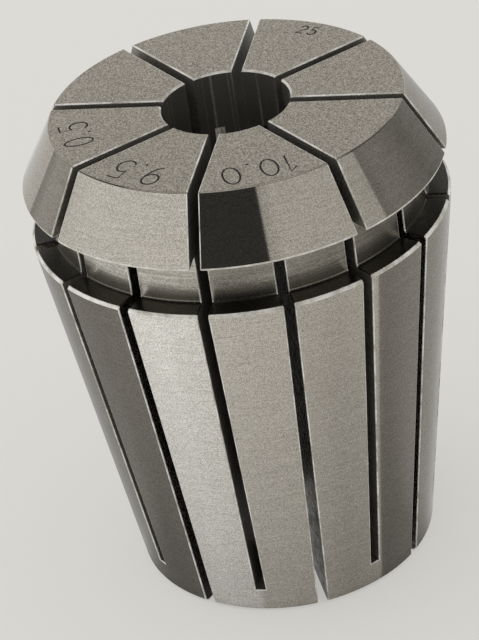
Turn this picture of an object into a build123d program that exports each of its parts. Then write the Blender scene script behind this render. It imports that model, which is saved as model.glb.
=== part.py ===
"""Spring collet, size 32, for a 10 mm shank: one piece of turned, slotted and ground spring steel.

The frame: the collet stands on its small end. The axis is Z, z = 0 is the small end and the
front face, with the nut cone round it, is on top. Sizes are in millimetres, angles in degrees.
"""

from build123d import *
import os
from collections import Counter
from math import radians, sqrt, tan

# ---------------------------------------------------------------- driving dimensions

# Whole collet
overall_length = 40.0        # small end to front face
largest_diameter = 33.0      # the head, and the sharp upper corner of the seat's taper

# Head, which the clamping nut pulls on
head_length = 5.0            # front face to the head's underside
head_land = 0.2              # narrow cylinder between the nut cone and the underside
nut_cone_half_angle = 30.0

# Extraction groove, which the nut's eccentric ring sits in
groove_width = 3.9
groove_depth = 1.9
groove_corner_radius = 0.2

# Seat: the long 8 degree taper that closes in the holder
seat_half_angle = 8.0
seat_top_chamfer = 0.2
small_end_chamfer = 0.3

# Clamping bore
bore_diameter = 10.0
bore_edge_break = 0.15

# Saw slots: one set from the front face, one from the small end, set half a pitch apart
saw_diameter = 160.0         # so a slot ends in an arc, deepest at the axis
saw_passes_per_end = 4       # each goes right across the collet and makes two opposite slots
slot_width = 0.8
front_slot_web = 2.4         # steel left at the small end, measured on the outside
rear_slot_stop = 1.0         # from a rear slot's end to the head's underside, on the groove's root

# Deburring of every slot mouth and of the sharp outer corners
edge_break = 0.1

# Two faces' angles or sizes count as the same within this
tolerance = 1e-6

# ---------------------------------------------------------------- worked-out sizes

underside_z = overall_length - head_length
ledge_z = underside_z - groove_width
cone_foot_z = underside_z + head_land

largest_radius = largest_diameter / 2
root_radius = largest_radius - groove_depth
bore_radius = bore_diameter / 2
saw_radius = saw_diameter / 2


def seat_radius(z):
    """Radius of the 8 degree taper at height z."""
    return largest_radius - (ledge_z - z) * tan(radians(seat_half_angle))


face_radius = largest_radius - (overall_length - cone_foot_z) * tan(radians(nut_cone_half_angle))


# ---------------------------------------------------------------- turned blank


def turned_blank():
    """The collet before it is slotted: half of its section, turned about the axis."""
    with BuildPart() as blank:
        with BuildSketch(Plane.XZ) as section:
            with BuildLine():
                Polyline(
                    (bore_radius, 0),
                    (seat_radius(0), 0),
                    (seat_radius(ledge_z), ledge_z),
                    (root_radius, ledge_z),
                    (root_radius, underside_z),
                    (largest_radius, underside_z),
                    (largest_radius, cone_foot_z),
                    (face_radius, overall_length),
                    (bore_radius, overall_length),
                    close=True,
                )
            make_face()

            def corner(radius, z):
                return section.vertices().sort_by_distance((radius, z, 0))[0]

            fillet(
                [corner(root_radius, ledge_z), corner(root_radius, underside_z)],
                groove_corner_radius,
            )
            chamfer(corner(seat_radius(ledge_z), ledge_z), seat_top_chamfer)
            chamfer(corner(seat_radius(0), 0), small_end_chamfer)
            chamfer(
                [corner(bore_radius, 0), corner(bore_radius, overall_length)],
                bore_edge_break,
            )
            chamfer(
                [corner(largest_radius, underside_z), corner(face_radius, overall_length)],
                edge_break,
            )
        revolve(axis=Axis.Z)
    return blank.part


# ---------------------------------------------------------------- slots


def saw_sweep(end_z, end_radius, direction):
    """What the slitting saw takes away on its way along the axis.

    The cut is in the XZ plane and goes right across the collet, so it makes two opposite
    slots. It leaves the outside, at end_radius, at height end_z. direction is 1 for a saw
    that comes from above and -1 for one that comes from below.
    """

    def rise(radius):
        """How far the saw's rim is behind its foremost point, at a radius from the axis."""
        return saw_radius - sqrt(saw_radius**2 - radius**2)

    foremost_z = end_z - direction * rise(end_radius)
    reach = largest_diameter
    rim_z = foremost_z + direction * rise(reach)
    clear_z = end_z + direction * 2 * overall_length
    with BuildPart() as sweep:
        with BuildSketch(Plane.XZ):
            with BuildLine():
                ThreePointArc((-reach, rim_z), (0, foremost_z), (reach, rim_z))
                Polyline((reach, rim_z), (reach, clear_z), (-reach, clear_z), (-reach, rim_z))
            make_face()
        extrude(amount=slot_width / 2, both=True)
    return sweep.part


def slotted(blank):
    """The blank with both sets of slots cut, interleaved round the axis."""
    from_front = saw_sweep(front_slot_web, seat_radius(front_slot_web), direction=1)
    from_rear = saw_sweep(underside_z - rear_slot_stop, root_radius, direction=-1)
    pitch = 180 / saw_passes_per_end
    with BuildPart() as collet:
        add(blank)
        for saw_pass in range(saw_passes_per_end):
            add(from_front.rotate(Axis.Z, saw_pass * pitch), mode=Mode.SUBTRACT)
            add(from_rear.rotate(Axis.Z, (saw_pass + 0.5) * pitch), mode=Mode.SUBTRACT)
    return collet.part


# ---------------------------------------------------------------- deburring


def is_saw_cut(face):
    """Whether a face is a slot's wall, upright and flat, or its end, an arc of the saw."""
    if face.geom_type == GeomType.PLANE:
        return abs(face.normal_at().Z) < tolerance
    return face.geom_type == GeomType.CYLINDER and abs(face.radius - saw_radius) < tolerance


def slot_mouth_edges(part):
    """The edges where the slots come out through the turned outside and the two ends.

    An edge that belongs to two cut faces is inside a slot, and one at the bore stays sharp.
    """
    uses = Counter(edge for face in part.faces().filter_by(is_saw_cut) for edge in face.edges())

    def is_clear_of_bore(edge):
        middle = edge.position_at(0.5)
        return sqrt(middle.X**2 + middle.Y**2) > bore_radius + bore_edge_break

    return [edge for edge, count in uses.items() if count == 1 and is_clear_of_bore(edge)]


def deburred(part):
    """The slotted collet with every slot mouth broken by a small chamfer."""
    return part.chamfer(edge_break, None, slot_mouth_edges(part))


# ---------------------------------------------------------------- the collet

collet = deburred(slotted(turned_blank()))

os.makedirs("parts", exist_ok=True)
export_step(collet, "parts/collet.step")
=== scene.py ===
"""Studio scene of the spring collet, size 32, for a 10 mm shank.

The collet is made here as in the workshop: its section is turned about the axis, a slitting saw
cuts the two sets of slots, and every slot mouth is deburred. It is one piece of steel, so one
object stands for it, and a second holds the dark marks on its front face.

Sizes are in millimetres and angles in degrees until a piece is done, and then in metres. The
collet stands on its small end at z = 0, with its axis on Z and its front face on top.
"""

import logging
from collections.abc import Callable
from dataclasses import dataclass
from enum import Enum
from math import atan2, cos, degrees, hypot, pi, radians, sin, sqrt, tan

import bmesh
import bpy
from mathutils import Matrix, Vector


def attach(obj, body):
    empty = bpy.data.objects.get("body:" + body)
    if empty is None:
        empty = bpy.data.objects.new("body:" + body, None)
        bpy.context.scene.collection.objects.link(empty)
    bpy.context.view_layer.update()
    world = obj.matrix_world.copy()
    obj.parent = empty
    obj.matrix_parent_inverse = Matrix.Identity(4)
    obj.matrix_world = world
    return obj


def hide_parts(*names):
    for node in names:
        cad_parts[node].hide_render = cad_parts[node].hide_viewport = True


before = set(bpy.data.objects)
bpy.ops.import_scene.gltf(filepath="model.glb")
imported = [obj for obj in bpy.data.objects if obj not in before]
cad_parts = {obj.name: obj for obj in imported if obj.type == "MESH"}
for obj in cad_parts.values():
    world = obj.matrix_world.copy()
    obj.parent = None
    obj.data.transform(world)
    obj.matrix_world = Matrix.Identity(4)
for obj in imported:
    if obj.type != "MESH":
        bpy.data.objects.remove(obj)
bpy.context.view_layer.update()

LOG = logging.getLogger("collet")

METRES = 0.001                   # one millimetre
SAME_PLACE = 0.01                # two places nearer than this are taken as one
MERGE_DISTANCE = 1e-4            # two corners nearer than this are merged
LEVEL = 0.999                    # a face whose normal rises by more than this lies level
ONE_PLANE = 0.05                 # faces that turn by less than this are made one
SMOOTH_BELOW = 35                # an edge that turns by less than this is shaded smooth
LARGE_FACES = 100                # the weight at which large faces set a corner's normal

NOISE_REACH = 0.125              # most of a noise lies this close to its middle
NOISE_MIDDLE = 0.5               # where as much of it lies above as below
ROUGHNESS_SWING = 0.15           # how much rougher the marks are, and how much less the rest
BUMP_DEPTH = 0.01                # of the marks, where a bump has its full strength
COLOUR_A, COLOUR_B = 6, 7        # a Mix node's colour inputs, which share names with others,
MIXED_COLOUR = 2                 # and its colour output

CAMERA_AZIMUTH = -75.9           # the side of the collet that the camera stands on
STEEL_REFLECTANCE = 0.52         # of bare ground steel, for the papers' levels
RING_STEPS = 720                 # of a reflector ring, two to a degree

Point = tuple[float, float]
Section = tuple[Point, ...]      # each corner a radius and a height
Stops = tuple[Point, ...]        # each a place and the value there


# ------------------------------------------------------------------ colour and nodes


def linear_level(level: float) -> float:
    """Turns one sRGB channel, 0 to 1, to linear."""
    return level / 12.92 if level <= 0.04045 else ((level + 0.055) / 1.055) ** 2.4


def linear_colour(hex_colour: str) -> tuple[float, float, float, float]:
    """Turns an sRGB hex colour to a linear one.

    Args:
        hex_colour: Such as "#8C8C8A".

    Returns:
        Red, green, blue and alpha, as a shader's socket takes them.
    """
    channels = [int(hex_colour[i : i + 2], 16) / 255 for i in (1, 3, 5)]
    red, green, blue = (linear_level(channel) for channel in channels)
    return (red, green, blue, 1.0)


def add_node(
    tree: bpy.types.NodeTree,
    kind: str,
    settings: dict | None = None,
    values: dict | None = None,
    links: dict | None = None,
) -> bpy.types.Node:
    """Adds a node with its settings, its sockets' values and its links.

    Args:
        tree: The node tree that it goes into.
        kind: The node's type, such as "ShaderNodeTexNoise".
        settings: Properties of the node by name.
        values: Values of its input sockets, by the socket's name or number.
        links: Output sockets that feed its input sockets, by the input's name or number.

    Returns:
        The new node.
    """
    node = tree.nodes.new(kind)
    for name, value in (settings or {}).items():
        setattr(node, name, value)
    for socket, value in (values or {}).items():
        node.inputs[socket].default_value = value
    for socket, source in (links or {}).items():
        tree.links.new(source, node.inputs[socket])
    return node


def empty_material(name: str) -> bpy.types.Material:
    """Makes a material with an empty node tree.

    Args:
        name: The material's name.

    Returns:
        The new material.
    """
    material = bpy.data.materials.new(name)
    material.use_nodes = True
    material.node_tree.nodes.clear()
    return material


# ------------------------------------------------------------------ finishes


class Smear(Enum):
    """Which way a finish smears what it mirrors."""

    NONE = "none"
    ALONG_AXIS = "along the axis"


@dataclass(frozen=True)
class SteelFinish:
    """A finish of bare steel: its colour, how it smears light, and the marks of its making.

    marks_mm is how far apart the marks are along x, y and z, so one that is short along z and
    long along x and y gives lines round the collet. rarity is above 0 where most of the surface
    has the marks' colour and only their peaks the brighter one.
    """

    name: str
    colour: str
    mark_colour: str
    roughness: float
    marks_mm: tuple[float, float, float]
    mark_share: float
    grain_mm: float
    grain_share: float
    bump: float
    smear: Smear = Smear.NONE
    anisotropic: float = 0.0
    metallic: float = 1.0
    rarity: float = 0.0

    def material(self) -> bpy.types.Material:
        """Builds the finish's material.

        Returns:
            The new material.
        """
        material = empty_material(self.name)
        tree = material.node_tree
        place = add_node(tree, "ShaderNodeTexCoord").outputs["Object"]
        marks_place = add_node(
            tree,
            "ShaderNodeMapping",
            values={"Scale": [1 / (size * METRES) for size in self.marks_mm]},
            links={"Vector": place},
        )
        marks = add_node(
            tree,
            "ShaderNodeTexNoise",
            values={"Scale": 1.0, "Detail": 2.0, "Roughness": 0.6},
            links={"Vector": marks_place.outputs[0]},
        )
        grain = add_node(
            tree,
            "ShaderNodeTexNoise",
            values={"Scale": 1 / (self.grain_mm * METRES), "Detail": 2.0, "Roughness": 0.7},
            links={"Vector": place},
        )
        mixed = add_node(
            tree,
            "ShaderNodeMix",
            settings={"data_type": "FLOAT"},
            values={"Factor": self.grain_share / (self.grain_share + self.mark_share)},
            links={"A": marks.outputs["Fac"], "B": grain.outputs["Fac"]},
        )
        spread = NOISE_REACH / (self.grain_share + self.mark_share)
        middle = NOISE_MIDDLE + self.rarity
        level = add_node(
            tree,
            "ShaderNodeMapRange",
            values={"From Min": middle - spread, "From Max": middle + spread},
            links={"Value": mixed.outputs["Result"]},
        )
        tint = add_node(
            tree,
            "ShaderNodeMix",
            settings={"data_type": "RGBA"},
            values={
                COLOUR_A: linear_colour(self.mark_colour),
                COLOUR_B: linear_colour(self.colour),
            },
            links={"Factor": level.outputs[0]},
        )
        rough = add_node(
            tree,
            "ShaderNodeMapRange",
            values={
                "To Min": self.roughness * (1 + ROUGHNESS_SWING),
                "To Max": self.roughness * (1 - ROUGHNESS_SWING),
            },
            links={"Value": level.outputs[0]},
        )
        bump = add_node(
            tree,
            "ShaderNodeBump",
            values={"Strength": self.bump, "Distance": BUMP_DEPTH * METRES},
            links={"Height": mixed.outputs["Result"]},
        )
        shader = add_node(
            tree,
            "ShaderNodeBsdfPrincipled",
            values={"Metallic": self.metallic, "Anisotropic": self.anisotropic},
            links={
                "Base Color": tint.outputs[MIXED_COLOUR],
                "Roughness": rough.outputs[0],
                "Normal": bump.outputs[0],
            },
        )
        if self.smear is Smear.ALONG_AXIS:
            axis = add_node(tree, "ShaderNodeCombineXYZ", values={"Z": 1.0})
            tree.links.new(axis.outputs[0], shader.inputs["Tangent"])
        add_node(tree, "ShaderNodeOutputMaterial", links={"Surface": shader.outputs[0]})
        return material


# The scratches of a grinding wheel, a lap or a hone are a few thousandths of a millimetre wide,
# too fine to show, so the marks and the grain below are drawn as coarse as they need to show.

# Ground spring steel: the wheel's fine lines run round the collet, so it mirrors sharply from
# side to side and smears along the axis.
GROUND_STEEL = SteelFinish(
    "ground_spring_steel", colour="#E5DED0", mark_colour="#A29B8E", roughness=0.07,
    marks_mm=(2.5, 2.5, 0.12), mark_share=0.15, grain_mm=0.085, grain_share=0.85, bump=0.03,
    smear=Smear.ALONG_AXIS, anisotropic=0.9,
)
# Lapped face: no direction, an even fine grain that takes the shine off.
LAPPED_STEEL = SteelFinish(
    "lapped_face_steel", colour="#E2DACB", mark_colour="#898174", roughness=0.32,
    marks_mm=(0.4, 0.4, 0.4), mark_share=0.1, grain_mm=0.11, grain_share=0.9, bump=0.15,
    metallic=0.75,
)
# Turned groove root: the tool's feed lines run round it.
TURNED_STEEL = SteelFinish(
    "turned_groove_steel", colour="#C9C2B3", mark_colour="#989286", roughness=0.28,
    marks_mm=(4.0, 4.0, 0.2), mark_share=0.45, grain_mm=0.15, grain_share=0.55, bump=0.12,
    smear=Smear.ALONG_AXIS, anisotropic=0.6,
)
# Dark steel on the groove's level flanks and up the corner of its root:
# painted shade under the head.
GROOVE_SHADE_STEEL = SteelFinish(
    "painted_groove_shade_steel", colour="#5F5C54", mark_colour="#46433D", roughness=0.30,
    marks_mm=(3.0, 3.0, 0.2), mark_share=0.4, grain_mm=0.14, grain_share=0.6, bump=0.2,
)
# Sawn walls of the front slots: painted darker than the rear slots' walls, a painted shade,
# with the saw's marks faint across them.
SHADED_SAWN_STEEL = SteelFinish(
    "shaded_sawn_slot_steel", colour="#ABA69B", mark_colour="#88837B", roughness=0.33,
    marks_mm=(4.0, 4.0, 0.22), mark_share=0.5, grain_mm=0.15, grain_share=0.5, bump=0.12,
    metallic=0.8,
)
# Sawn walls of the rear slots: painted brighter than the front slots' walls so that they shine
# along the slot, a painted light. Mottled where the saw's teeth tore the steel.
LIT_SAWN_STEEL = SteelFinish(
    "lit_sawn_slot_steel", colour="#FAF6EE", mark_colour="#908B81", roughness=0.26,
    marks_mm=(1.2, 1.2, 0.45), mark_share=0.7, grain_mm=0.2, grain_share=0.4, bump=0.25,
)
# Honed bore: fine lines along the axis from the hone and from the shanks pushed into it. The
# few near-white, half-matt streaks among them are painted highlights.
HONED_AND_HIGHLIGHT_STEEL = SteelFinish(
    "honed_bore_and_painted_highlight_steel", colour="#FBF8F0", mark_colour="#64615A", roughness=0.28,
    marks_mm=(0.32, 0.32, 60.0), mark_share=0.85, grain_mm=0.15, grain_share=0.15, bump=0.1,
    metallic=0.6, rarity=0.2,
)
# Slot mouths, brushed after the saw, and the bore's chamfers: their near-white, mostly matt
# colour is a painted highlight, and they still mirror a little of what is beside them.
EDGE_HIGHLIGHT_STEEL = SteelFinish(
    "painted_edge_highlight_steel", colour="#FDFBF5", mark_colour="#B4AFA3", roughness=0.30,
    marks_mm=(1.6, 1.6, 1.6), mark_share=0.7, grain_mm=0.25, grain_share=0.3, bump=0.05,
    metallic=0.35,
)
# Rims that the nut's ring slides on: their near-white, mostly matt colour is a painted
# highlight all round them.
RIM_HIGHLIGHT_STEEL = SteelFinish(
    "painted_rim_highlight_steel", colour="#FBF9F2", mark_colour="#BDB8AC", roughness=0.30,
    marks_mm=(1.6, 1.6, 1.6), mark_share=0.7, grain_mm=0.25, grain_share=0.3, bump=0.05,
    metallic=0.25,
)


class Finish(Enum):
    """The collet's finishes, in the order of its material slots."""

    GROUND = GROUND_STEEL
    LAPPED = LAPPED_STEEL
    TURNED = TURNED_STEEL
    SCALED = GROOVE_SHADE_STEEL
    HONED = HONED_AND_HIGHLIGHT_STEEL
    BURNISHED = EDGE_HIGHLIGHT_STEEL
    RUBBED = RIM_HIGHLIGHT_STEEL
    SAWN = SHADED_SAWN_STEEL
    CLEAN_SAWN = LIT_SAWN_STEEL

    @property
    def slot(self) -> int:
        """Number of the finish's material slot."""
        return list(Finish).index(self)


@dataclass(frozen=True)
class LaserMark:
    """Steel oxidised dark by a marking laser: matt, near black, a little brown."""

    name: str = "laser_mark_oxide"
    colour: str = "#131211"
    light_colour: str = "#262421"
    pulse_mm: float = 0.08

    def material(self) -> bpy.types.Material:
        """Builds the mark's material, mottled by the laser's pulses.

        Returns:
            The new material.
        """
        material = empty_material(self.name)
        tree = material.node_tree
        place = add_node(tree, "ShaderNodeTexCoord").outputs["Object"]
        pulses = add_node(
            tree,
            "ShaderNodeTexNoise",
            values={"Scale": 1 / (self.pulse_mm * METRES), "Detail": 1.0},
            links={"Vector": place},
        )
        tint = add_node(
            tree,
            "ShaderNodeMix",
            settings={"data_type": "RGBA"},
            values={
                COLOUR_A: linear_colour(self.colour),
                COLOUR_B: linear_colour(self.light_colour),
            },
            links={"Factor": pulses.outputs["Fac"]},
        )
        shader = add_node(
            tree,
            "ShaderNodeBsdfPrincipled",
            values={"Metallic": 0.0, "Roughness": 0.7},
            links={"Base Color": tint.outputs[MIXED_COLOUR]},
        )
        add_node(tree, "ShaderNodeOutputMaterial", links={"Surface": shader.outputs[0]})
        return material


# ------------------------------------------------------------------ modelling helpers


def nothing_selected() -> None:
    """Leaves edit mode and deselects every object."""
    if bpy.context.mode != "OBJECT":
        bpy.ops.object.mode_set(mode="OBJECT")
    bpy.ops.object.select_all(action="DESELECT")


def only_selected(obj: bpy.types.Object) -> None:
    """Makes an object the one selected and active object.

    Args:
        obj: The object.
    """
    nothing_selected()
    obj.select_set(True)
    bpy.context.view_layer.objects.active = obj


def wire_through(name: str, points: list[Vector]) -> bpy.types.Object:
    """Draws a wire through points, as a mesh that is left in edit mode.

    Args:
        name: The new object's name.
        points: The wire's corners in order. It closes where the last equals the first.

    Returns:
        The new object, all of it selected.
    """
    nothing_selected()
    bpy.ops.mesh.primitive_plane_add(size=1, location=(0, 0, 0))
    obj = bpy.context.active_object
    obj.name = obj.data.name = name
    bpy.ops.object.mode_set(mode="EDIT")
    bpy.ops.mesh.select_mode(type="VERT")
    bpy.ops.mesh.select_all(action="SELECT")
    bpy.ops.mesh.merge(type="CENTER")
    bpy.ops.transform.translate(value=points[0])
    for start, end in zip(points, points[1:]):
        bpy.ops.mesh.extrude_region_move(TRANSFORM_OT_translate={"value": end - start})
    merge_corners()
    return obj


class Element(Enum):
    """What a mesh is made of, in Blender's words."""

    CORNER = "VERT"
    EDGE = "EDGE"
    FACE = "FACE"


def select(obj: bpy.types.Object, element: Element, is_wanted: Callable[..., bool]) -> None:
    """Selects the wanted corners, edges or faces, in edit mode.

    Args:
        obj: The object that is in edit mode.
        element: Which of the three is selected.
        is_wanted: Tells of each bmesh element whether it is wanted.
    """
    bpy.ops.mesh.select_mode(type=element.value)
    bpy.ops.mesh.select_all(action="DESELECT")
    shape = bmesh.from_edit_mesh(obj.data)
    found = {Element.CORNER: shape.verts, Element.EDGE: shape.edges, Element.FACE: shape.faces}
    for item in found[element]:
        if is_wanted(item):
            item.select_set(True)
    shape.select_flush_mode()
    bmesh.update_edit_mesh(obj.data)


def merge_corners(distance: float = MERGE_DISTANCE) -> None:
    """Selects all, in edit mode, and merges the corners that are nearer than a distance."""
    bpy.ops.mesh.select_all(action="SELECT")
    bpy.ops.mesh.remove_doubles(threshold=distance)


def radius_of(place: Vector) -> float:
    """How far a place is from the collet's axis."""
    return hypot(place.x, place.y)


def is_level(face: bmesh.types.BMFace) -> bool:
    """Whether a face lies level, with its normal up or down."""
    return abs(face.normal.z) > LEVEL


def to_metres(obj: bpy.types.Object) -> None:
    """Scales a finished piece from millimetres to metres, in its mesh.

    Args:
        obj: The piece.
    """
    only_selected(obj)
    obj.scale = (METRES, METRES, METRES)
    bpy.ops.object.transform_apply(location=True, rotation=True, scale=True)


# ------------------------------------------------------------------ the collet


@dataclass
class SlottedCollet:
    """The collet itself: one piece of spring steel, turned, sawn from both ends and ground."""

    overall_length: float = 40.0
    largest_diameter: float = 33.0
    head_length: float = 5.0
    head_land: float = 0.2
    nut_cone_half_angle: float = 30.0
    groove_width: float = 3.9
    groove_depth: float = 1.9
    groove_corner_radius: float = 0.2
    seat_half_angle: float = 8.0
    seat_top_chamfer: float = 0.2
    small_end_chamfer: float = 0.3
    bore_diameter: float = 10.0
    bore_edge_break: float = 0.15
    saw_diameter: float = 160.0
    saw_passes_per_end: int = 4
    saw_facets: int = 500                # none of them ends close to a slot's mouth
    slot_width: float = 0.8
    front_slot_web: float = 2.4
    rear_slot_stop: float = 1.0
    edge_break: float = 0.1
    light_break: float = 0.04            # of the seat's upper rim, which is already chamfered
    break_facets: int = 3
    fillet_facets: int = 4
    facets_per_half_pitch: int = 9       # of the turned faces; none falls on a slot's edge
    groove_shade_height: float = 0.12           # of the painted shade up the corner of the groove's root
    shade_from_root: float = 0.05        # where the painted shade on the slots' broken edges starts
    shade_from_rim: float = 0.25         # and where it ends, on the groove's lower flank
    piece: bpy.types.Object | None = None

    def __post_init__(self) -> None:
        """Works out the sizes that follow from the fields."""
        self.underside_z = self.overall_length - self.head_length
        self.ledge_z = self.underside_z - self.groove_width
        self.cone_foot_z = self.underside_z + self.head_land
        self.largest_radius = self.largest_diameter / 2
        self.root_radius = self.largest_radius - self.groove_depth
        self.bore_radius = self.bore_diameter / 2
        self.saw_radius = self.saw_diameter / 2
        cone_height = self.overall_length - self.cone_foot_z
        self.face_radius = self.largest_radius - cone_height * tan(
            radians(self.nut_cone_half_angle)
        )
        self.half_pitch = 90 / self.saw_passes_per_end
        self.facet = self.half_pitch / self.facets_per_half_pitch

    def seat_radius(self, z: float) -> float:
        """Radius of the 8 degree taper at height z."""
        return self.largest_radius - (self.ledge_z - z) * tan(radians(self.seat_half_angle))

    def saw_rise(self, radius: float) -> float:
        """How far the saw's rim is behind its foremost point, at a radius from the axis."""
        return self.saw_radius - sqrt(self.saw_radius**2 - radius**2)

    def corner(self, radius: float, z: float) -> Vector:
        """A corner of the section, half a facet round from the X axis."""
        turn = radians(self.facet / 2)
        return Vector((radius * cos(turn), radius * sin(turn), z))

    def is_near(self, place: Vector, radius: float, z: float) -> bool:
        """Whether a place lies on the circle of that radius and height."""
        return abs(radius_of(place) - radius) < SAME_PLACE and abs(place.z - z) < SAME_PLACE

    def break_corners(self, corners: list[Point], size: float, steps: int) -> None:
        """Breaks corners of the section before it is turned.

        Args:
            corners: Radius and height of each.
            size: Length that is cut from both sides of the corner.
            steps: 1 for a chamfer, more for a fillet.
        """
        select(
            self.piece,
            Element.CORNER,
            lambda corner: any(self.is_near(corner.co, r, z) for r, z in corners),
        )
        bpy.ops.mesh.bevel(affect="VERTICES", offset=size, segments=steps, profile=0.5)

    def turn_blank(self) -> None:
        """Turns the section about the axis."""
        section = [
            (self.bore_radius, 0.0),
            (self.seat_radius(0), 0.0),
            (self.seat_radius(self.ledge_z), self.ledge_z),
            (self.root_radius, self.ledge_z),
            (self.root_radius, self.underside_z),
            (self.largest_radius, self.underside_z),
            (self.largest_radius, self.cone_foot_z),
            (self.face_radius, self.overall_length),
            (self.bore_radius, self.overall_length),
            (self.bore_radius, 0.0),
        ]
        self.piece = wire_through("slotted_collet", [self.corner(r, z) for r, z in section])
        root_corners = [(self.root_radius, self.ledge_z), (self.root_radius, self.underside_z)]
        self.break_corners(root_corners, self.groove_corner_radius, self.fillet_facets)
        self.break_corners([(self.largest_radius, self.ledge_z)], self.seat_top_chamfer, 1)
        self.break_corners([(self.seat_radius(0), 0.0)], self.small_end_chamfer, 1)
        bore_corners = [(self.bore_radius, 0.0), (self.bore_radius, self.overall_length)]
        self.break_corners(bore_corners, self.bore_edge_break, 1)
        bpy.ops.mesh.select_all(action="SELECT")
        bpy.ops.mesh.spin(
            steps=round(360 / self.facet),
            angle=2 * pi,
            center=(0, 0, 0),
            axis=(0, 0, 1),
            use_auto_merge=True,
        )
        merge_corners()
        bpy.ops.mesh.normals_make_consistent(inside=False)
        bpy.ops.object.mode_set(mode="OBJECT")

    def saw_pass(self, turn: float, rim_z: float, direction: int, finish: Finish) -> None:
        """Cuts two opposite slots with one pass of the slitting saw along the axis.

        Args:
            turn: Angle of the cut round the axis, in degrees.
            rim_z: Height of the saw's foremost point.
            direction: 1 for a saw that comes from above, and -1 for one from below.
            finish: What the cut walls look like.
        """
        nothing_selected()
        bpy.ops.mesh.primitive_cylinder_add(
            vertices=self.saw_facets,
            radius=self.saw_radius,
            depth=self.slot_width,
            location=(0, 0, rim_z + direction * self.saw_radius),
            rotation=(pi / 2, 0, radians(turn)),
        )
        saw = bpy.context.active_object
        saw.data.materials.append(self.piece.data.materials[finish.slot])
        only_selected(self.piece)
        cut = self.piece.modifiers.new("saw", "BOOLEAN")
        cut.operation = "DIFFERENCE"
        cut.solver = "EXACT"
        cut.material_mode = "TRANSFER"
        cut.object = saw
        bpy.ops.object.modifier_apply(modifier=cut.name)
        bpy.data.objects.remove(saw, do_unlink=True)

    def saw_slots(self) -> None:
        """Cuts both sets of slots, interleaved round the axis."""
        front_rim = self.front_slot_web - self.saw_rise(self.seat_radius(self.front_slot_web))
        rear_rim = self.underside_z - self.rear_slot_stop + self.saw_rise(self.root_radius)
        for number in range(self.saw_passes_per_end):
            turn = number * 2 * self.half_pitch
            self.saw_pass(turn, front_rim, 1, Finish.SAWN)
            self.saw_pass(turn + self.half_pitch, rear_rim, -1, Finish.CLEAN_SAWN)

    def is_sawn(self, face: bmesh.types.BMFace) -> bool:
        """Whether a face was cut by the saw."""
        return face.material_index in (Finish.SAWN.slot, Finish.CLEAN_SAWN.slot)

    def is_on(self, edge: bmesh.types.BMEdge, circles: list[Point]) -> bool:
        """Whether an edge lies on one of some circles, each a radius and a height."""
        return any(all(self.is_near(v.co, r, z) for v in edge.verts) for r, z in circles)

    def is_edge_to_break(self, edge: bmesh.types.BMEdge) -> bool:
        """Tells whether an edge is broken with the full edge break.

        Args:
            edge: An edge of the slotted collet.

        Returns:
            True on a slot's mouth and on the head's two sharp outer rims.
        """
        if len(edge.link_faces) != 2:
            return False
        middle = (edge.verts[0].co + edge.verts[1].co) / 2
        clear_of_bore = radius_of(middle) > self.bore_radius + self.bore_edge_break
        if self.is_sawn(edge.link_faces[0]) != self.is_sawn(edge.link_faces[1]):
            return clear_of_bore
        rims = [
            (self.largest_radius, self.underside_z),
            (self.face_radius, self.overall_length),
        ]
        return self.is_on(edge, rims)

    def is_seat_rim(self, edge: bmesh.types.BMEdge) -> bool:
        """Tells whether an edge is broken lightly.

        Args:
            edge: An edge of the slotted collet.

        Returns:
            True on the two edges round the chamfer at the top of the seat.
        """
        along = self.seat_top_chamfer
        angle = radians(self.seat_half_angle)
        below = (self.largest_radius - along * sin(angle), self.ledge_z - along * cos(angle))
        return self.is_on(edge, [below, (self.largest_radius - along, self.ledge_z)])

    def finish_of(self, face: bmesh.types.BMFace) -> Finish:
        """Tells a turned face's finish by its place and normal.

        Args:
            face: A face of the turned blank.

        Returns:
            The finish there: the workshop's, apart from the painted shade on the groove's level
            flanks and root corner and the painted highlight on the rims and broken edges.
        """
        middle = face.calc_center_median()
        radius = radius_of(middle)
        if radius < self.bore_radius + SAME_PLACE:
            return Finish.HONED
        if radius < self.bore_radius + self.bore_edge_break and not is_level(face):
            return Finish.BURNISHED
        if self.is_on_rim(middle):
            return Finish.RUBBED
        if is_level(face):
            is_end = middle.z > self.overall_length - SAME_PLACE or middle.z < SAME_PLACE
            return Finish.LAPPED if is_end else Finish.SCALED
        if self.ledge_z < middle.z < self.ledge_z + self.groove_shade_height:
            return Finish.SCALED
        if self.ledge_z < middle.z < self.underside_z:
            return Finish.TURNED
        return Finish.GROUND

    def is_on_rim(self, middle: Vector) -> bool:
        """Tells whether a place is on one of the two rims that the nut rubs.

        Args:
            middle: The middle of a face.

        Returns:
            True on the head's narrow land and on the chamfer at the seat's top.
        """
        if radius_of(middle) < self.largest_radius - self.seat_top_chamfer - self.light_break:
            return False
        on_land = self.underside_z < middle.z < self.cone_foot_z
        seat_rim_z = self.ledge_z - self.seat_top_chamfer - self.light_break
        return on_land or seat_rim_z < middle.z < self.ledge_z

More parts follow.
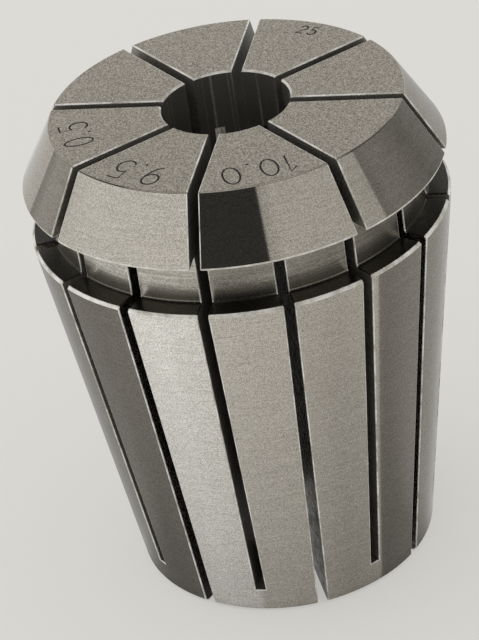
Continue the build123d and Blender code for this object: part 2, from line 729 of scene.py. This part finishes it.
    def deburr(self) -> None:
        """Breaks every slot mouth and the head's rims, and flattens the flat faces to one face."""
        only_selected(self.piece)
        bpy.ops.object.mode_set(mode="EDIT")
        merge_corners()
        select(self.piece, Element.FACE, is_level)
        bpy.ops.mesh.dissolve_limited(angle_limit=radians(ONE_PLANE), delimit={"MATERIAL"})
        select(self.piece, Element.EDGE, self.is_edge_to_break)
        bpy.ops.transform.edge_bevelweight(value=1.0)
        select(self.piece, Element.EDGE, self.is_seat_rim)
        bpy.ops.transform.edge_bevelweight(value=self.light_break / self.edge_break)
        bpy.ops.object.mode_set(mode="OBJECT")
        broken = self.piece.modifiers.new("broken_edges", "BEVEL")
        broken.limit_method = "WEIGHT"
        broken.offset_type = "OFFSET"
        broken.width = self.edge_break
        broken.segments = self.break_facets
        broken.use_clamp_overlap = False
        broken.material = Finish.BURNISHED.slot
        bpy.ops.object.modifier_apply(modifier=broken.name)
        bpy.ops.object.mode_set(mode="EDIT")
        self.give_finish(Finish.GROUND, self.is_face_rim)
        # The slot mouths across the groove's lower flank take the groove's painted shade.
        self.give_finish(Finish.SCALED, self.is_ledge_mouth)
        # The rims and their broken edges take the rims' painted highlight.
        self.give_finish(Finish.RUBBED, self.is_broken_rim)
        bpy.ops.object.mode_set(mode="OBJECT")

    def is_face_rim(self, face: bmesh.types.BMFace) -> bool:
        """Tells whether a face is in the broken edge round the front face.

        Args:
            face: A face of the deburred collet.

        Returns:
            True on that edge, which the grinding wheel goes over.
        """
        middle = face.calc_center_median()
        near = abs(radius_of(middle) - self.face_radius) < self.edge_break
        outward = Vector((middle.x, middle.y, 0)).normalized()
        tilt = degrees(atan2(face.normal.z, face.normal.dot(outward)))
        margin = 5
        between_cone_and_face = self.nut_cone_half_angle + margin < tilt < 90 - margin
        high = middle.z > self.overall_length - self.edge_break
        return near and high and between_cone_and_face

    def is_broken_rim(self, face: bmesh.types.BMFace) -> bool:
        """Whether a face is in the broken edges of the head's land or of the seat's chamfer."""
        is_broken = face.material_index == Finish.BURNISHED.slot
        return is_broken and self.is_on_rim(face.calc_center_median())

    def is_ledge_mouth(self, face: bmesh.types.BMFace) -> bool:
        """Tells whether a face is in a slot's broken edge on the groove's lower flank.

        Args:
            face: A face of the deburred collet.

        Returns:
            True on that edge, apart from its ends at the groove's root and at the rim.
        """
        middle = face.calc_center_median()
        inner = self.root_radius + self.shade_from_root
        outer = self.largest_radius - self.shade_from_rim
        is_across = inner < radius_of(middle) < outer
        return is_across and abs(middle.z - self.ledge_z) < self.edge_break

    def give_finish(
        self, finish: Finish, is_wanted: Callable[[bmesh.types.BMFace], bool]
    ) -> None:
        """Gives faces a finish, in edit mode.

        Args:
            finish: What they look like.
            is_wanted: Tells of each face whether it gets that finish.
        """
        select(self.piece, Element.FACE, is_wanted)
        self.piece.active_material_index = finish.slot
        bpy.ops.object.material_slot_assign()

    def share_out_finishes(self) -> None:
        """Gives the turned faces their finishes, before the saw."""
        only_selected(self.piece)
        bpy.ops.object.mode_set(mode="EDIT")
        for finish in Finish:
            self.give_finish(finish, lambda face, wanted=finish: self.finish_of(face) is wanted)
        bpy.ops.object.mode_set(mode="OBJECT")

    def smooth(self) -> None:
        """Shades the curved faces smooth, with the large faces setting the normals."""
        only_selected(self.piece)
        bpy.ops.object.shade_smooth_by_angle(angle=radians(SMOOTH_BELOW))
        even = self.piece.modifiers.new("even_normals", "WEIGHTED_NORMAL")
        even.weight = LARGE_FACES
        even.keep_sharp = True
        bpy.ops.object.modifier_apply(modifier=even.name)

    def build(self) -> None:
        """Makes the collet and puts it in the frame in the CAD node's stead."""
        self.turn_blank()
        for finish in Finish:
            self.piece.data.materials.append(finish.value.material())
        self.share_out_finishes()
        self.saw_slots()
        self.deburr()
        self.smooth()
        to_metres(self.piece)
        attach(self.piece, "root")
        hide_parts("collet")
        report(self.piece)


# ------------------------------------------------------------------ marks on the face


def arc(middle: Point, reach: Point, start: float, end: float, steps: int = 16) -> list[Point]:
    """Points of an arc of an upright ellipse.

    Args:
        middle: The ellipse's centre.
        reach: Its half width and half height.
        start: Angle that the arc starts at, from the ellipse's right, in degrees.
        end: Angle that it ends at. The arc runs clockwise where end is less than start.
        steps: How many straight runs stand for it.

    Returns:
        The arc's points in order.
    """
    turns = [radians(start + (end - start) * step / steps) for step in range(steps + 1)]
    return [(middle[0] + reach[0] * cos(t), middle[1] + reach[1] * sin(t)) for t in turns]


# Each figure's strokes and width, for a figure one unit tall that stands on y = 0.
FIGURES: dict[str, tuple[float, list[list[Point]]]] = {
    "0": (0.5, [arc((0.25, 0.5), (0.25, 0.5), 90, 450, 28)]),
    "1": (0.22, [[(0.0, 0.76), (0.22, 1.0), (0.22, 0.0)]]),
    "2": (0.5, [arc((0.25, 0.74), (0.25, 0.26), 165, -38) + [(0.0, 0.0), (0.5, 0.0)]]),
    "5": (0.5, [[(0.47, 1.0), (0.08, 1.0)] + arc((0.23, 0.32), (0.27, 0.32), 130, -145)]),
    "9": (
        0.5,
        [
            arc((0.25, 0.71), (0.25, 0.29), 0, 360, 24),
            arc((0.13, 0.68), (0.37, 0.68), 0, -80),
        ],
    ),
    ".": (0.05, [arc((0.025, 0.03), (0.02, 0.02), 90, 450, 8)]),
}


@dataclass(frozen=True)
class MarkedNumber:
    """A number on the front face, which stands on a line across its segment, top outwards."""

    figures: str
    height: float
    turn: float              # of its middle, round the axis
    foot_radius: float       # from the axis to the line that it stands on


@dataclass
class FaceMarks:
    """Plain numbers written by a laser on the front face, each figure in single thin strokes."""

    numbers: tuple[MarkedNumber, ...] = (
        MarkedNumber("10.0", height=2.5, turn=-67.5, foot_radius=10.3),
        MarkedNumber("9.5", height=2.5, turn=-114.0, foot_radius=10.3),
        MarkedNumber("0.5", height=2.2, turn=-157.5, foot_radius=10.6),
        MarkedNumber("25", height=1.2, turn=67.5, foot_radius=11.7),
    )
    face_z: float = 40.0
    stroke: float = 0.16
    proud: float = 0.006     # of the burnt skin over the face
    gap: float = 0.30        # between figures, as a share of their height
    rounding: int = 2        # steps that round a stroke's edges
    piece: bpy.types.Object | None = None

    def width_of(self, number: MarkedNumber) -> float:
        """How wide a number is, as a share of its height."""
        widths = [FIGURES[figure][0] for figure in number.figures]
        return sum(widths) + self.gap * (len(widths) - 1)

    def write(self, number: MarkedNumber) -> list[bpy.types.Object]:
        """Draws a number's strokes as wires.

        Args:
            number: What is written and where.

        Returns:
            One wire for each stroke, in the plane z = 0.
        """
        outwards = Vector((cos(radians(number.turn)), sin(radians(number.turn)), 0))
        along = Vector((outwards.y, -outwards.x, 0))
        start = -self.width_of(number) / 2
        wires = []
        for figure in number.figures:
            width, strokes = FIGURES[figure]
            for stroke in strokes:
                points = [
                    along * (start + x) * number.height
                    + outwards * (number.foot_radius + y * number.height)
                    for x, y in stroke
                ]
                wires.append(wire_through("stroke", points))
            start += width + self.gap
        nothing_selected()
        return wires

    def build(self) -> None:
        """Writes the numbers and lays them on the face as one thin skin."""
        wires = [wire for number in self.numbers for wire in self.write(number)]
        for wire in wires:
            wire.select_set(True)
        self.piece = bpy.context.view_layer.objects.active = wires[0]
        bpy.ops.object.join()
        self.piece.name = self.piece.data.name = "face_numbers"
        bpy.ops.object.convert(target="CURVE")
        self.piece.data.bevel_depth = self.stroke / 2
        self.piece.data.bevel_resolution = self.rounding
        self.piece.data.use_fill_caps = True
        bpy.ops.object.convert(target="MESH")
        self.piece.scale.z = self.proud / (self.stroke / 2)
        self.piece.location.z = self.face_z
        bpy.ops.object.transform_apply(location=True, rotation=True, scale=True)
        bpy.ops.object.mode_set(mode="EDIT")
        merge_corners()
        bpy.ops.mesh.normals_make_consistent(inside=False)
        bpy.ops.object.mode_set(mode="OBJECT")
        self.piece.data.materials.clear()
        self.piece.data.materials.append(LaserMark().material())
        to_metres(self.piece)
        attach(self.piece, "root")
        report(self.piece)


# ------------------------------------------------------------------ the studio


def azimuth_of(place: Vector) -> float:
    """Angle of a place from the camera's side, round the axis to the camera's right."""
    turn = degrees(atan2(place.y, place.x)) - CAMERA_AZIMUTH
    return (turn + 180) % 360 - 180


def between(stops: Stops, place: float) -> float:
    """The value at a place between stops.

    Args:
        stops: Places in rising order, each with its value.
        place: Where the value is wanted. Past the outermost stops it is their value.

    Returns:
        The value on the straight line from one stop to the next.
    """
    for (start, low), (end, high) in zip(stops, stops[1:]):
        if start <= place <= end:
            return low + (high - low) * (place - start) / (end - start)
    return stops[0][1] if place < stops[0][0] else stops[-1][1]


def spun_ring(name: str, section: Section) -> bpy.types.Object:
    """Spins an open section round the collet's axis. A wide ring's seam closes less exactly.

    Args:
        name: The new object's name.
        section: Corners in order, each a radius and a height.

    Returns:
        The new ring.
    """
    ring = wire_through(name, [Vector((radius, 0, z)) for radius, z in section])
    bpy.ops.mesh.spin(steps=RING_STEPS, angle=2 * pi, center=(0, 0, 0), axis=(0, 0, 1))
    merge_corners(10 * MERGE_DISTANCE)
    bpy.ops.object.mode_set(mode="OBJECT")
    return ring


def give_levels(card: bpy.types.Object, name: str, level_at: Callable[[Vector], float]) -> None:
    """Writes a level to each corner of a card.

    Args:
        card: The card, out of edit mode.
        name: Of the attribute that holds the levels.
        level_at: Gives the level at a place.
    """
    levels = card.data.attributes.new(name, "FLOAT", "POINT")
    for number, vertex in enumerate(card.data.vertices):
        levels.data[number].value = level_at(vertex.co)


def stand_for_steel(card: bpy.types.Object) -> None:
    """Brings a card to metres and hides it from the camera and from all that isn't a mirror.

    Args:
        card: A paper or a film of the stage.
    """
    to_metres(card)
    for ray in ("camera", "diffuse", "transmission", "volume_scatter", "shadow"):
        setattr(card, f"visible_{ray}", False)


@dataclass(frozen=True)
class ReflectorRing:
    """A ring of graded paper round the collet, which only the steel sees.

    Its light changes round the collet from one stop to the next. Each stop is an azimuth from
    the camera, to the camera's right, and the grey, 0 to 255, that ground steel shows there.
    The papers are white, and the cooler the brighter they are.
    """

    name: str
    section: Section
    stops: Stops
    dim_colour: str = "#FFFFFF"
    bright_colour: str = "#F3F8FF"
    dim_level: float = 0.6
    bright_level: float = 1.15

    def light_at(self, place: Vector) -> float:
        """Light of the paper at a place."""
        return linear_level(between(self.stops, azimuth_of(place)) / 255) / STEEL_REFLECTANCE

    def build(self) -> None:
        """Spins the ring's section round the axis and gives every corner its light."""
        ring = spun_ring(self.name, self.section)
        give_levels(ring, "card_light", self.light_at)
        ring.data.materials.append(self.paper())
        stand_for_steel(ring)

    def paper(self) -> bpy.types.Material:
        """Builds the ring's paper, as bright as its corners say.

        Returns:
            The new material.
        """
        material = empty_material("graded_paper")
        material.cycles.emission_sampling = "NONE"
        tree = material.node_tree
        level = add_node(tree, "ShaderNodeAttribute", settings={"attribute_name": "card_light"})
        coolness = add_node(
            tree,
            "ShaderNodeMapRange",
            values={"From Min": self.dim_level, "From Max": self.bright_level},
            links={"Value": level.outputs["Fac"]},
        )
        tint = add_node(
            tree,
            "ShaderNodeMix",
            settings={"data_type": "RGBA"},
            values={
                COLOUR_A: linear_colour(self.dim_colour),
                COLOUR_B: linear_colour(self.bright_colour),
            },
            links={"Factor": coolness.outputs[0]},
        )
        shader = add_node(
            tree,
            "ShaderNodeEmission",
            links={"Color": tint.outputs[MIXED_COLOUR], "Strength": level.outputs["Fac"]},
        )
        add_node(tree, "ShaderNodeOutputMaterial", links={"Surface": shader.outputs[0]})
        return material


@dataclass(frozen=True)
class FootShade:
    """The dim patch of table round the collet's foot, which only the steel sees.

    The film is a painted shadow: it dims the table that the steel mirrors, darker towards the
    collet's foot. Each stop is a radius and the share of the light that is left there. Each depth
    is an azimuth from the camera and how much of that shade falls there. Inside the foot it is
    dimmer beside the camera's side than on it, and under the foot's chamfer it is darkest.
    """

    film_z: float = -0.01
    foot_radius: float = 12.0
    stops: Stops = (
        (0.5, 0.55), (5.0, 0.50), (8.0, 0.42), (11.8, 0.42), (11.9, 0.10), (12.1, 0.40),
        (13.0, 0.54), (16.0, 0.60), (21.0, 0.72), (31.0, 0.85), (45.0, 1.0),
    )
    depths: Stops = (
        (-180, 0.0), (-140, 0.1), (-122, 0.3), (-97, 0.3), (-90, 0.15), (-80, 0.5), (-70, 0.9),
        (61, 0.9), (76, 0.3), (86, 0.0), (180, 0.0),
    )
    inner_depths: Stops = (
        (-180, 1.0), (-75, 1.0), (-65, 1.6), (-35, 1.6), (-25, 1.0), (25, 1.0), (35, 1.6),
        (75, 1.6), (90, 1.0), (180, 1.0),
    )

    def light_left_at(self, place: Vector) -> float:
        """Works out how much the film leaves of the table's light.

        Args:
            place: A corner of the film.

        Returns:
            The share that is left there.
        """
        radius = radius_of(place)
        depths = self.depths if radius > self.foot_radius else self.inner_depths
        return 1 - (1 - between(self.stops, radius)) * between(depths, azimuth_of(place))

    def build(self) -> None:
        """Makes the patch as a ring of film, a painted shadow, that lies on the floor."""
        patch = spun_ring("foot_shade", tuple((radius, self.film_z) for radius, _ in self.stops))
        give_levels(patch, "light_left", self.light_left_at)
        material = empty_material("painted_shadow_film")
        tree = material.node_tree
        left = add_node(tree, "ShaderNodeAttribute", settings={"attribute_name": "light_left"})
        film = add_node(tree, "ShaderNodeBsdfTransparent", links={"Color": left.outputs["Fac"]})
        add_node(tree, "ShaderNodeOutputMaterial", links={"Surface": film.outputs[0]})
        patch.data.materials.append(material)
        stand_for_steel(patch)


@dataclass
class Studio:
    """Pale floor, soft light, the reflector rings and the camera."""

    floor_colour: str = "#DEDCD6"
    glow_colour: str = "#DEDCD7"
    glow_share: float = 0.6
    floor_size: float = 4000.0
    floor_drop: float = 0.02             # keeps the floor clear of the collet's foot
    room_level: float = 0.88
    lamp_sides: tuple[float, float] = (900.0, 500.0)
    lamp_place: tuple[float, float, float] = (-620.0, 100.0, 320.0)
    lamp_power: float = 1.1              # in watts
    camera_place: tuple[float, float, float] = (45.524, -181.251, 137.575)
    camera_right: tuple[float, float, float] = (0.97693, 0.16913, -0.13041)
    camera_up: tuple[float, float, float] = (0.01702, 0.54704, 0.83693)
    camera_back: tuple[float, float, float] = (0.21289, -0.81984, 0.53154)
    lens: float = 154.744
    sensor_width: float = 36.0
    camera_reach: tuple[float, float] = (10.0, 20000.0)    # the nearest and farthest it sees

    # The papers, from the top: each height is where one ends and the next starts.
    wall_radius: float = 350.0
    ceiling_z: float = 300.0
    high_wall_z: float = 120.0
    middle_wall_z: float = -5.0
    low_wall_z: float = -130.0
    skirting_z: float = -190.0
    table_z: float = -800.0
    zenith_radius: float = 180.0
    ceiling_hole: float = 181.0
    middle_hole: float = 0.5             # in the papers that reach the axis
    zenith_grey: float = 135.0
    ceiling_grey: float = 60.0
    wall: Stops = (
        (-133, 112), (-129, 120), (-125, 130), (-118, 129), (-112, 122), (-109, 114),
        (-108, 164), (-92, 175), (-30, 169), (-29, 41), (10, 41), (11, 132), (14, 138),
        (19, 147), (40, 147), (60, 143), (75, 134), (76, 92), (83, 101), (92, 99), (111, 86),
        (120, 92), (131, 98),
    )
    back_from: tuple[float, float] = (-134.0, 132.0)    # the wall's back, on both sides
    high_back_grey: float = 134.0
    middle_back_grey: float = 154.0
    middle_back_grey_left: float = 152.0
    low_wall: Stops = (
        (-180, 174), (-166, 168), (-161, 156), (-150, 153), (-134, 148), (-133, 112),
        (-129, 118), (-125, 126), (-109, 118), (-108, 168), (-30, 165), (-29, 110), (60, 110),
        (80, 90), (126, 97), (133, 128), (145, 132), (180, 134),
    )
    skirting: Stops = (
        (-180, 105), (-166, 112), (-150, 148), (-112, 200), (-99, 240), (-88, 235), (-64, 190),
        (-41, 184), (-30, 174), (-18, 80), (6, 110), (41, 105), (76, 82), (99, 96), (122, 101),
        (145, 89), (180, 84),
    )
    table: Stops = (
        (-180, 126), (-157, 125), (-145, 119), (-122, 104), (-108, 100), (-87, 104), (-86, 204),
        (-61, 207), (-37, 195), (-28, 168), (7, 160), (47, 142), (60, 144), (80, 150), (81, 98),
        (110, 112), (122, 113), (134, 119), (145, 127), (157, 138), (180, 128),
    )

    def place_camera(self) -> None:
        """Adds the camera and makes it the scene's."""
        data = bpy.data.cameras.new("camera")
        data.lens = self.lens
        data.sensor_width = self.sensor_width
        data.clip_start, data.clip_end = (reach * METRES for reach in self.camera_reach)
        camera = bpy.data.objects.new("camera", data)
        bpy.context.scene.collection.objects.link(camera)
        turn = Matrix((self.camera_right, self.camera_up, self.camera_back)).transposed()
        place = Matrix.Translation(Vector(self.camera_place) * METRES)
        camera.matrix_world = place @ turn.to_4x4()
        bpy.context.scene.camera = camera

    def lay_floor(self) -> None:
        """Adds the pale floor just under the collet. For the camera part of it glows."""
        nothing_selected()
        bpy.ops.mesh.primitive_plane_add(
            size=self.floor_size * METRES, location=(0, 0, -self.floor_drop * METRES)
        )
        floor = bpy.context.active_object
        floor.name = "floor"
        material = empty_material("matt_paper_floor")
        tree = material.node_tree
        shader = add_node(
            tree,
            "ShaderNodeBsdfPrincipled",
            values={
                "Base Color": linear_colour(self.floor_colour),
                "Roughness": 0.9,
                "Specular IOR Level": 0.1,
            },
        )
        glow = add_node(
            tree,
            "ShaderNodeEmission",
            values={"Color": linear_colour(self.glow_colour), "Strength": 1.0},
        )
        share = add_node(
            tree,
            "ShaderNodeMath",
            settings={"operation": "MULTIPLY"},
            values={1: self.glow_share},
            links={0: add_node(tree, "ShaderNodeLightPath").outputs["Is Camera Ray"]},
        )
        mixed = add_node(
            tree,
            "ShaderNodeMixShader",
            links={0: share.outputs[0], 1: shader.outputs[0], 2: glow.outputs[0]},
        )
        add_node(tree, "ShaderNodeOutputMaterial", links={"Surface": mixed.outputs[0]})
        floor.data.materials.append(material)
        floor.visible_glossy = False

    def light_room(self) -> None:
        """Adds the even light of the room and one soft lamp, low on the left."""
        world = bpy.data.worlds.new("room")
        world.use_nodes = True
        background = world.node_tree.nodes["Background"]
        background.inputs["Color"].default_value = (1, 1, 1, 1)
        background.inputs["Strength"].default_value = self.room_level
        world.cycles_visibility.glossy = False
        bpy.context.scene.world = world
        lamp = bpy.data.lights.new("softbox", "AREA")
        lamp.shape = "RECTANGLE"
        lamp.size, lamp.size_y = (side * METRES for side in self.lamp_sides)
        lamp.energy = self.lamp_power
        softbox = bpy.data.objects.new("softbox", lamp)
        bpy.context.scene.collection.objects.link(softbox)
        softbox.location = Vector(self.lamp_place) * METRES
        softbox.rotation_euler = Vector(self.lamp_place).to_track_quat("Z", "Y").to_euler()
        softbox.visible_glossy = False

    def papers(self) -> tuple[ReflectorRing, ...]:
        """Lists the rings of graded paper, from the top down.

        Returns:
            The rings, not yet built.
        """

        def even(grey: float) -> Stops:
            """The stops of a paper that is the same all round."""
            return ((-180, grey), (180, grey))

        def with_back(grey: float, left_grey: float) -> Stops:
            """The stops of the wall, and of its back on both sides of them."""
            left, right = self.back_from
            return ((-180, grey), (left, left_grey)) + self.wall + ((right, grey), (180, grey))

        def upright(top: float, foot: float) -> Section:
            """The section of an upright paper on the wall's radius."""
            return ((self.wall_radius, top), (self.wall_radius, foot))

        zenith = ((self.middle_hole, self.ceiling_z), (self.zenith_radius, self.ceiling_z))
        ceiling = ((self.ceiling_hole, self.ceiling_z), (self.wall_radius, self.ceiling_z))
        high_wall = with_back(self.high_back_grey, self.high_back_grey)
        middle_wall = with_back(self.middle_back_grey, self.middle_back_grey_left)
        table = upright(self.skirting_z, self.table_z) + ((self.middle_hole, self.table_z),)
        rings = (
            ("zenith_paper", zenith, even(self.zenith_grey)),
            ("ceiling_paper", ceiling, even(self.ceiling_grey)),
            ("high_wall_paper", upright(self.ceiling_z, self.high_wall_z), high_wall),
            ("middle_wall_paper", upright(self.high_wall_z, self.middle_wall_z), middle_wall),
            ("low_wall_paper", upright(self.middle_wall_z, self.low_wall_z), self.low_wall),
            ("skirting_paper", upright(self.low_wall_z, self.skirting_z), self.skirting),
            ("table_paper", table, self.table),
        )
        return tuple(ReflectorRing(*ring) for ring in rings)

    def build(self) -> None:
        """Sets up the whole studio."""
        self.place_camera()
        self.lay_floor()
        self.light_room()
        for ring in self.papers():
            ring.build()
        FootShade().build()
        bpy.context.scene.view_settings.view_transform = "Standard"


# ------------------------------------------------------------------ the whole scene


def report(piece: bpy.types.Object) -> None:
    """Logs a finished piece's size and number of triangles.

    Args:
        piece: The piece.
    """
    triangles = sum(len(face.vertices) - 2 for face in piece.data.polygons)
    size = ", ".join(f"{side / METRES:.2f}" for side in piece.dimensions)
    LOG.info("%s: %s mm, %d triangles", piece.name, size, triangles)


def main() -> None:
    """Builds the collet, its marks and the studio, in order."""
    logging.basicConfig(level=logging.INFO, format="%(name)s: %(message)s")
    SlottedCollet().build()
    FaceMarks().build()
    Studio().build()


if __name__ == "__main__":
    main()
